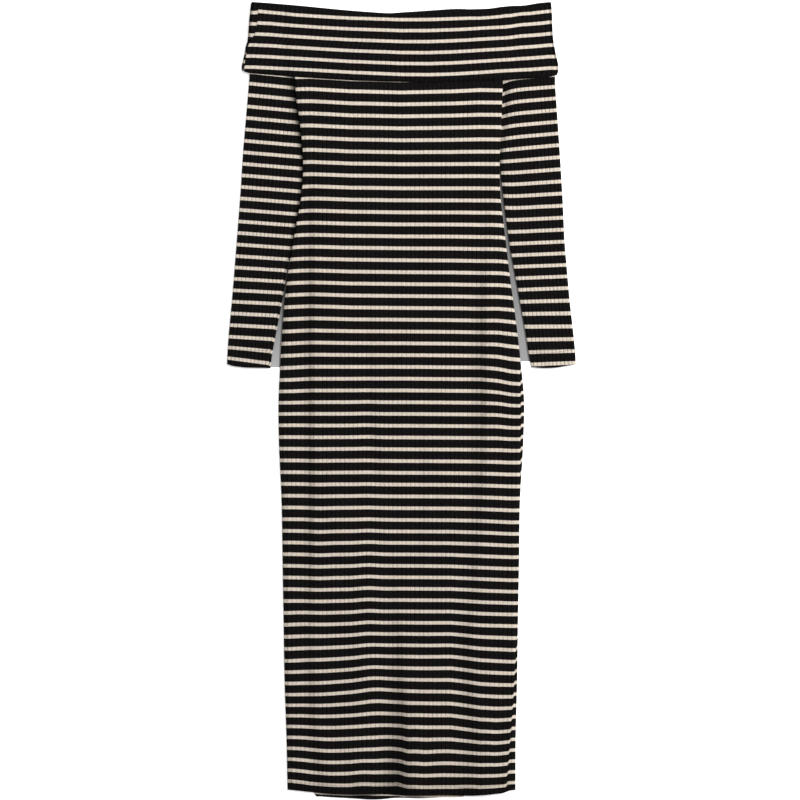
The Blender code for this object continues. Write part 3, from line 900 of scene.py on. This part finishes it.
class SleeveSection:
    """A cut across a sleeve, which is folded along its outer edge and flat on both sides."""

    def __init__(self, table, side, step):
        numbers = np.arange(len(table), dtype=float)
        line = [float(follow(numbers, column_of(table, column), step)) for column in range(5)]
        self.side, self.step, self.line, self.last_line = side, step, line, table[-1]
        outer_x, outer_drop, inner_x, inner_drop, tucked = line
        self.tucked = max(0.0, tucked)
        self.width = math.dist((outer_x, outer_drop), (inner_x, inner_drop))
        lying = (step - SLEEVE_LAST_LIFTED) / (SLEEVE_FIRST_FLAT - SLEEVE_LAST_LIFTED)
        self.flat = float(smooth(lying))
        self.floor = STEP * (1 - self.flat)
        in_collar = straight(UPPER_LEVELS, inner_drop - curve(NECK_LINE, inner_x))
        self.level = in_collar * (1 - self.flat) + STEP * self.flat
        self.loft = (SLEEVE_LOFT - STEP) * self.flat
        self.radius = (self.level + self.loft + WALL - self.floor) / 2
        self.bend = float(smooth((step - len(table) + 1 + CUFF_BEND) / CUFF_BEND))

    def swell(self, share):
        """Soft rise and fall of the upper side, in a few long waves."""
        down = np.full_like(share, self.step + UNEVEN_SHIFT * self.side)
        loose = uneven(UNEVEN_WIDTH * share, UNEVEN_STEP * down)
        return loose + hills(SLEEVE_SWELLS[self.side], self.step, share)

    def lower_height(self, places, outside):
        if not outside:
            return np.full_like(places, self.floor + WALL)
        groove = RIB_HEIGHT * self.flat * (1 - rib_profile(places, SLEEVE_RIB_PITCH))
        groove = groove * smooth((self.width - places) / RIB_FADE)
        return self.floor + groove * smooth((places - self.radius) / RIB_FADE)

    def upper_height(self, places, outside):
        rise = smooth((self.width - places - self.tucked) / SLEEVE_RISE)
        swelling = self.swell(places / self.width) * smooth((places - self.radius) / SWELL_FADE)
        height = self.level + (self.loft + swelling * self.flat) * rise
        if not outside:
            return height
        ribs = rib_profile(places, SLEEVE_RIB_PITCH) * smooth((places - self.radius) / RIB_FADE)
        height = height + WALL + RIB_HEIGHT * ribs * rise * self.flat
        return height - edge_drop(self.width - places)

    def across(self, share):
        """X, drop and distance to the cuff's edge at shares of the width from the outer edge."""
        outer_x, outer_drop, inner_x, inner_drop, _ = self.line
        hang = curve(CUFF_EDGE[self.side], share)
        drop = outer_drop + share * (inner_drop - outer_drop) + self.bend * hang
        last_outer, last_inner = self.last_line[1], self.last_line[3]
        to_cuff = last_outer + share * (last_inner - last_outer) + hang - drop
        return outer_x + share * (inner_x - outer_x), drop, to_cuff

    def add_row(self, wall, outside):
        radius, width = self.radius, self.width
        if outside:
            upper = rib_places(radius, width, SLEEVE_RIB_PITCH)
            lower = upper[::-1]
            turn_radius = radius
        else:
            upper = np.linspace(radius, width, 3 * SLEEVE_INNER_STEPS)
            lower = np.linspace(radius, width, SLEEVE_INNER_STEPS)[::-1]
            turn_radius = radius - WALL
        angles = np.radians(np.array(TURN_ANGLES, float))
        turn_along = radius - turn_radius * np.cos(angles)
        turn_height = self.floor + radius + turn_radius * np.sin(angles)
        along = np.concatenate([lower, turn_along, upper])
        lower_height = self.lower_height(lower, outside)
        upper_height = self.upper_height(upper, outside)
        height = np.concatenate([lower_height, turn_height, upper_height])
        places = np.concatenate([-lower, radius * angles / (math.pi / 2), upper])
        is_under = places < 0.0
        x, drop, to_cuff = self.across(along / width)
        rib = np.where(is_under, -along, along) / SLEEVE_RIB_PITCH
        knit = (rib, sleeve_stripe(x, drop, self.side))
        # Painted shade beside the body's edge, on the upper side only
        painted_shade = armhole_painted_shade(x, drop, self.side) * ~is_under
        on_seam = outside and self.side < 0
        past_seam = np.where(is_under, -FAR, along - width + SLEEVE_SEAM_INSET)
        wall.add("outer" if outside else "inner", places, (x, drop, height), knit,
                 to_cuff if outside else FAR, past_seam if on_seam else -FAR, painted_shade)


def make_sleeve(name, table, side, material):
    wall = Wall(name)
    last = len(table) - 1
    for step in np.linspace(0.0, last, last * SLEEVE_ROWS_PER_SECTION + 1):
        section = SleeveSection(table, side, step)
        section.add_row(wall, True)
        section.add_row(wall, False)
    return wall.build(material)


# Collar


def flap_step(x):
    """The flap lies one layer higher where the body is under it."""
    left = smooth((x - BODY_TOP_LEFT + FLAP_STEP_START) / FLAP_SHOULDER)
    right = smooth((BODY_TOP_RIGHT - x + FLAP_STEP_START) / FLAP_SHOULDER)
    return STEP * left * right


def flap_depth(x):
    return float(curve(FLAP_EDGE, x) - curve(NECK_LINE, x))


def ribs_across():
    """Rib numbers of the columns across one side of the collar."""
    return [rib + part for rib in range(COLLAR_RIBS) for part in RIB_COLUMNS] + [COLLAR_RIBS]


def collar_columns_front():
    """Kind, share or angle, flap depth and rib number, across the front and round to the seam."""
    columns = []
    edge, seam = COLLAR_SECTIONS[-1][2], COLLAR_SECTIONS[-1][3]
    for rib in ribs_across():
        share = rib / COLLAR_RIBS
        columns.append(("top", share, flap_depth(seam + share * (edge - seam)), rib))
    for angle in TURN_ANGLES[::-1]:
        columns.append(("right", angle, flap_depth(edge), COLLAR_RIBS))
    for share in TAIL_SHARES:
        columns.append(("tail", share, BACK_FLAP_DEPTH, COLLAR_RIBS + TAIL_RIBS * share))
    return columns


def collar_columns_back():
    """The same for the back, from the seam on the front round the left edge and underneath."""
    columns = []
    edge, seam = COLLAR_SECTIONS[-1][1], COLLAR_SECTIONS[-1][3]
    for share in STRIP_SHARES:
        depth = flap_depth(edge + share * (seam - edge))
        columns.append(("strip", share, depth, -STRIP_RIBS * share))
    for angle in TURN_ANGLES[::-1]:
        columns.append(("left", angle, flap_depth(edge), 0.0))
    for rib in ribs_across():
        columns.append(("under", rib / COLLAR_RIBS, BACK_FLAP_DEPTH, rib))
    return columns


def collar_point(kind, share, depth, inset, rib, angle, lift):
    """X, drop, height and depth along the cloth. The angle is None below the fold."""
    edges = [float(straight(COLLAR_SECTIONS, depth, column)) for column in (1, 2, 3, 4)]
    left_edge, right_edge, left_seam, right_seam = edges
    middle = (float(straight(UPPER_LEVELS, depth)) + STEP + WALL) / 2
    left_turn, right_turn = left_edge + middle, right_edge - middle
    start, end = {
        "top": (left_seam, right_turn),
        "strip": (left_turn, left_seam - GAP),
        "under": (left_turn, right_seam - GAP),
        "tail": (right_turn, right_seam),
        "left": (left_turn, left_turn),
        "right": (right_turn, right_turn),
    }[kind]
    x = start + share * (end - start)
    turn = {"top": 90.0, "strip": 90.0, "under": -90.0, "tail": -90.0}.get(kind, share)
    reach = middle + (float(flap_step(x)) if kind == "top" else 0.0)
    if angle is None:
        slide, cloth = depth, depth
        reach = reach - inset + rib
    else:
        radius = (reach - GAP / 2) / 2
        bend = math.radians(angle)
        slide = max(depth, radius - (radius - inset + rib) * math.cos(bend))
        cloth = -radius * (math.pi / 2 - bend) - depth + radius
        reach = reach - radius + (radius - inset + rib) * math.sin(bend)
    across = math.cos(math.radians(turn)) * reach
    x += {"left": -across, "right": across}.get(kind, 0.0)
    height = middle + math.sin(math.radians(turn)) * reach
    neck = float(curve(NECK_LINE, x)) - lift * float(back_neck_lift(x))
    return x, neck + slide, height, cloth


def collar_rib(kind, rib_number, angle):
    """How far a rib stands out of the collar. Underneath, the valleys go in and the crests don't."""
    rib = RIB_HEIGHT * float(rib_profile(np.array(rib_number), 1.0))
    if kind == "under":
        rib -= RIB_HEIGHT
    return rib if angle is None else rib * (1 + math.sin(math.radians(angle))) / 2


def make_collar(name, columns, lift, material):
    """Rows from the flap's edge up to the fold, round it, and down the inside."""
    wall = Wall(name)
    rows = [(float(share), None, 0.0) for share in np.linspace(1.0, FLAP_TOP_SHARE, FLAP_ROWS)]
    rows += [(0.0, float(angle), 0.0) for angle in FOLD_ANGLES]
    rows += [(0.0, -90.0, TURN_IN_DEPTH)]
    for number, (fraction, angle, turn_in) in enumerate(rows):
        for side in ("outer", "inner"):
            made, kinds = [], []
            for place, (kind, share, longest, rib_number) in enumerate(columns):
                on_rib = kind in ("top", "under")
                is_end = share in (0.0, 1.0)
                if side == "inner" and on_rib and place % INNER_EVERY and not is_end:
                    continue
                depth = fraction * longest if angle is None else turn_in
                ribbed = side == "outer" and on_rib
                rib = collar_rib(kind, rib_number, angle) if ribbed else 0.0
                inset = WALL if side == "inner" else 0.0
                if side == "outer" and number < FLAP_EDGE_ROWS:
                    inset = float(edge_drop(np.array((1 - fraction) * longest)))
                point = collar_point(kind, share, depth, inset, rib, angle, lift)
                made.append((float(place), *point, rib_number))
                kinds.append(kind)
            place, x, drop, height, cloth, rib_number = np.array(made).T
            stripe = collar_stripe(x, cloth, np.isin(kinds, ("strip", "left")))
            wall.add(side, place, (x, drop, height), (rib_number, stripe))
    return wall.build(material)


# Materials


class Net:
    """A new material, and short calls for its nodes."""

    def __init__(self, name):
        self.material = bpy.data.materials.new(name)
        self.material.use_nodes = True
        self.tree = self.material.node_tree
        self.surface = self.tree.nodes["Principled BSDF"].inputs

    def node(self, kind, **settings):
        made = self.tree.nodes.new(kind)
        for key, value in settings.items():
            setattr(made, key, value)
        return made

    def join(self, value, socket):
        if isinstance(value, bpy.types.NodeSocket):
            self.tree.links.new(value, socket)
        else:
            socket.default_value = value

    def feed(self, made, *values):
        """Gives a node its first inputs, and returns its first output."""
        for value, socket in zip(values, made.inputs):
            self.join(value, socket)
        return made.outputs[0]

    def split(self, vector):
        made = self.node("ShaderNodeSeparateXYZ")
        self.feed(made, vector)
        return made.outputs

    def attribute(self, name):
        return self.split(self.node("ShaderNodeAttribute", attribute_name=name).outputs["Vector"])

    def place(self):
        return self.node("ShaderNodeTexCoord").outputs["Object"]

    def math(self, operation, *values):
        return self.feed(self.node("ShaderNodeMath", operation=operation), *values)

    def plus(self, first, second):
        return self.math("ADD", first, second)

    def times(self, first, second):
        return self.math("MULTIPLY", first, second)

    def apart(self, first, second):
        return self.math("ABSOLUTE", self.math("SUBTRACT", first, second))

    def between(self, value, low, high):
        return self.times(self.math("GREATER_THAN", value, low), self.math("LESS_THAN", value, high))

    def darken(self, shade, where, strength):
        return self.times(shade, self.math("MULTIPLY_ADD", where, -strength, 1.0))

    def ramp(self, value, low, high, to_low=0.0, to_high=1.0, kind="SMOOTHSTEP"):
        made = self.node("ShaderNodeMapRange", interpolation_type=kind)
        return self.feed(made, value, low, high, to_low, to_high)

    def mix(self, share, first, second):
        made = self.node("ShaderNodeMix", data_type="RGBA")
        for number, part in ((0, share), (6, first), (7, second)):
            self.join(part, made.inputs[number])
        return made.outputs[2]

    def noise(self, vector, scale, detail):
        made = self.node("ShaderNodeTexNoise")
        made.inputs["Scale"].default_value = scale
        made.inputs["Detail"].default_value = detail
        return self.feed(made, vector)


def stitch_loop(net, from_middle, stripe):
    """1 on the legs of each stitch, down to 0 in the pits between two stitches."""
    course = net.times(stripe, COURSES_PER_STRIPE)
    slanted = net.math("FRACT", net.plus(course, net.times(from_middle, STITCH_SLANT)))
    across = net.math("SINE", net.times(from_middle, 2 * math.pi))
    along = net.math("SINE", net.times(slanted, math.pi))
    leg = net.math("POWER", net.math("ABSOLUTE", across), LEG_ROUNDNESS)
    return net.times(leg, net.plus(net.times(along, 1 - LEG_LOWEST), LEG_LOWEST))


def beige_stripe(net, place, from_middle, stripe):
    """1 in a beige stripe, with edges that wander a little and step from stitch to stitch."""
    whole = net.math("FLOOR", net.plus(stripe, 0.5))
    wander = net.math("SUBTRACT", net.noise(place, *WANDER_NOISE), 0.5)
    ragged = net.times(net.math("SUBTRACT", from_middle, 0.25), STRIPE_RAGGED)
    centred = net.plus(net.math("SUBTRACT", stripe, whole), net.times(wander, STRIPE_WANDER))
    from_stripe = net.math("ABSOLUTE", net.plus(centred, ragged))
    outer, inner = STRIPE_HALF_WIDTH + STRIPE_SOFT, STRIPE_HALF_WIDTH - STRIPE_SOFT
    return net.ramp(from_stripe, outer, inner)


def yarn_colour(net, place, beige, to_valley):
    """Heathered beige in the stripes, and a mottled black with painted shade between the ribs."""
    yarn = net.mix(net.ramp(net.noise(place, *HEATHER_NOISE), *HEATHER_RAMP), BEIGE_DARK, BEIGE)
    yarn = net.mix(net.ramp(net.noise(place, *BLOTCH_NOISE), *BLOTCH_RAMP), yarn, BEIGE_DARK)
    # Random mottle on the black, and painted shade between the ribs
    black_mottle_and_shade = net.ramp(net.noise(place, *BLACK_NOISE), *BLACK_RAMP)
    black_mottle_and_shade = net.times(black_mottle_and_shade, net.ramp(to_valley, *BLACK_VALLEY_RAMP))
    return net.mix(beige, net.mix(black_mottle_and_shade, BLACK_DARK, BLACK), yarn)


def hem_stitches(net, rib, to_hem, stitch_rows):
    """1 on two dashed rows of stitches along the hem."""
    rows = []
    for row in stitch_rows:
        rows.append(net.ramp(net.apart(to_hem, row), STITCH_THICKNESS, STITCH_CORE))
    dash = net.math("LESS_THAN", net.math("FRACT", net.times(rib, STITCHES_PER_RIB)), STITCH_SHARE)
    return net.times(net.math("MAXIMUM", *rows), dash)


def knit_material(name, stitch_rows, valley_shade, seam_rise, seam_blend, seam_darkness):
    """Rib knit in black with beige stripes, stitch by stitch, read from the two attributes."""
    net = Net(name)
    rib, stripe, painted_shade = net.attribute("knit")
    to_hem, past_seam, _ = net.attribute("sewn")
    place = net.place()
    past = net.ramp(past_seam, -seam_blend, seam_blend)
    stripe = net.math("MULTIPLY_ADD", past, seam_rise / STRIPE_PITCH, stripe)
    from_middle = net.apart(net.math("FRACT", net.times(rib, WALES_PER_RIB)), 0.5)
    to_valley = net.times(net.apart(net.math("FRACT", rib), 0.5), 2.0)

    loop = stitch_loop(net, from_middle, stripe)
    beige = beige_stripe(net, place, from_middle, stripe)
    stitches = hem_stitches(net, rib, to_hem, stitch_rows)
    seam = net.ramp(net.math("ABSOLUTE", past_seam), SEAM_WIDTH, 0.0)

    # Painted shade in the rib valleys and in the pits between stitches, darker hem stitches and seams,
    # and the painted shade of creases and armholes
    darkest, lightest = valley_shade - VALLEY_DARKER, valley_shade + VALLEY_LIGHTER
    deep = net.ramp(net.noise(place, *VALLEY_NOISE), *VALLEY_NOISE_RANGE, darkest, lightest)
    valley = net.ramp(to_valley, VALLEY_START, 1.0, 1.0, deep)
    shade = net.times(valley, net.ramp(loop, *PIT_RAMP))
    shade = net.darken(shade, stitches, STITCH_DARKNESS)
    shade = net.darken(shade, painted_shade, PAINTED_SHADE_DARKNESS)
    shade = net.darken(shade, seam, seam_darkness)
    shaded = net.node("ShaderNodeVectorMath", operation="SCALE")
    net.join(yarn_colour(net, place, beige, to_valley), shaded.inputs[0])
    net.join(shade, shaded.inputs["Scale"])
    net.join(shaded.outputs[0], net.surface["Base Color"])

    height = net.plus(loop, net.times(net.noise(place, *FUZZ_NOISE), FUZZ_HEIGHT))
    height = net.math("SUBTRACT", height, net.plus(stitches, seam))
    bump = net.node("ShaderNodeBump")
    bump.inputs["Strength"].default_value = BUMP_STRENGTH
    bump.inputs["Distance"].default_value = BUMP_HEIGHT * MM
    net.join(height, bump.inputs["Height"])
    net.join(bump.outputs[0], net.surface["Normal"])
    for socket, value in KNIT_SURFACE.items():
        net.surface[socket].default_value = value
    return net.material


def floor_material():
    """Plain and pale, with a painted grey shadow between the sleeves and the body."""
    net = Net("floor")
    x, y, _ = net.split(net.place())
    on_right = net.math("GREATER_THAN", x, 0.0)
    across = net.between(net.math("ABSOLUTE", x), SHADE_INNER_X, SHADE_OUTER_X)
    ranges, greys = [], []
    for end_y, end_grey, top_y, top_grey in FLOOR_PAINTED_SHADOWS:
        ranges.append(net.between(y, end_y, SHADE_TOP_Y))
        greys.append(net.ramp(y, end_y, top_y, end_grey, top_grey, "LINEAR"))
    # 1 in the painted shadow between the sleeves and the body
    shaded = net.times(across, net.mix(on_right, *ranges))
    net.join(net.mix(shaded, FLOOR_COLOUR, net.mix(on_right, *greys)), net.surface["Base Color"])
    # The floor glows evenly, but not in the painted shadow
    glow = net.math("MULTIPLY_ADD", shaded, -FLOOR_GLOW, FLOOR_GLOW)
    net.join(glow, net.surface["Emission Strength"])
    net.surface["Emission Color"].default_value = WHITE
    net.surface["Roughness"].default_value = FLOOR_ROUGHNESS
    return net.material


# Stage


def make_floor():
    data = bpy.data.meshes.new("floor")
    corners = ((-1, -1), (1, -1), (1, 1), (-1, 1))
    points = [(x * FLOOR_HALF, y * FLOOR_HALF, FLOOR_LEVEL) for x, y in corners]
    data.from_pydata(points, [], [(0, 1, 2, 3)])
    data.materials.append(floor_material())
    new_object("floor", data)


def make_light(name, place, size, power):
    """A round lamp that points at the middle of the dress."""
    data = bpy.data.lights.new(name, "AREA")
    data.shape = "DISK"
    data.size = size
    data.energy = power
    light = new_object(name, data)
    light.location = place
    light.rotation_euler = (-Vector(place)).to_track_quat("-Z", "Y").to_euler()


def make_camera():
    """Straight above. One pixel of the 800 pixel frame is 1.5 mm on the dress."""
    data = bpy.data.cameras.new("camera")
    data.lens = data.sensor_width * CAMERA_DISTANCE / FRAME_WIDTH
    camera = new_object("camera", data)
    camera.location = (*CAMERA_PLACE, CAMERA_DISTANCE)
    bpy.context.scene.camera = camera


def make_sky():
    world = bpy.data.worlds.new("studio")
    world.use_nodes = True
    bpy.context.scene.world = world
    background = world.node_tree.nodes["Background"]
    background.inputs["Color"].default_value = WHITE
    background.inputs["Strength"].default_value = SKY_STRENGTH


# The plain view transform keeps the background white
bpy.context.scene.view_settings.view_transform = "Standard"
make_camera()
make_floor()
make_sky()
for light in LIGHTS:
    make_light(*light)

body_knit, sleeve_knit, collar_knit = [knit_material(*knit) for knit in KNITS]
front = make_front(body_knit)
back = make_back(body_knit)
sleeve_left = make_sleeve("sleeve_left_knit", LEFT_SLEEVE, -1, sleeve_knit)
sleeve_right = make_sleeve("sleeve_right_knit", RIGHT_SLEEVE, 1, sleeve_knit)
collar_front = make_collar("collar_front_knit", collar_columns_front(), 0.0, collar_knit)
collar_back = make_collar("collar_back_knit", collar_columns_back(), 1.0, collar_knit)

PIECES = (
    # piece, node, slot, flat size in metres, flat area, rests on
    (front, "front", "body_knit", (0.37, 1.19), 0.405, ["back_knit"]),
    (back, "back", "body_knit", (0.37, 1.19), 0.40, ["collar_back_knit"]),
    (sleeve_left, "sleeve_left", "sleeve_knit", (0.19, 0.55), 0.09, ["collar_back_knit"]),
    (sleeve_right, "sleeve_right", "sleeve_knit", (0.19, 0.55), 0.09, ["collar_back_knit"]),
    (collar_front, "collar_front", "collar_knit", (0.48, 0.14), 0.066, ["front_knit"]),
    (collar_back, "collar_back", "collar_knit", (0.48, 0.13), 0.06, ["floor"]),
)
for piece, node, slot, flat, area, rests_on in PIECES:
    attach(piece, "root")
    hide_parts(node)
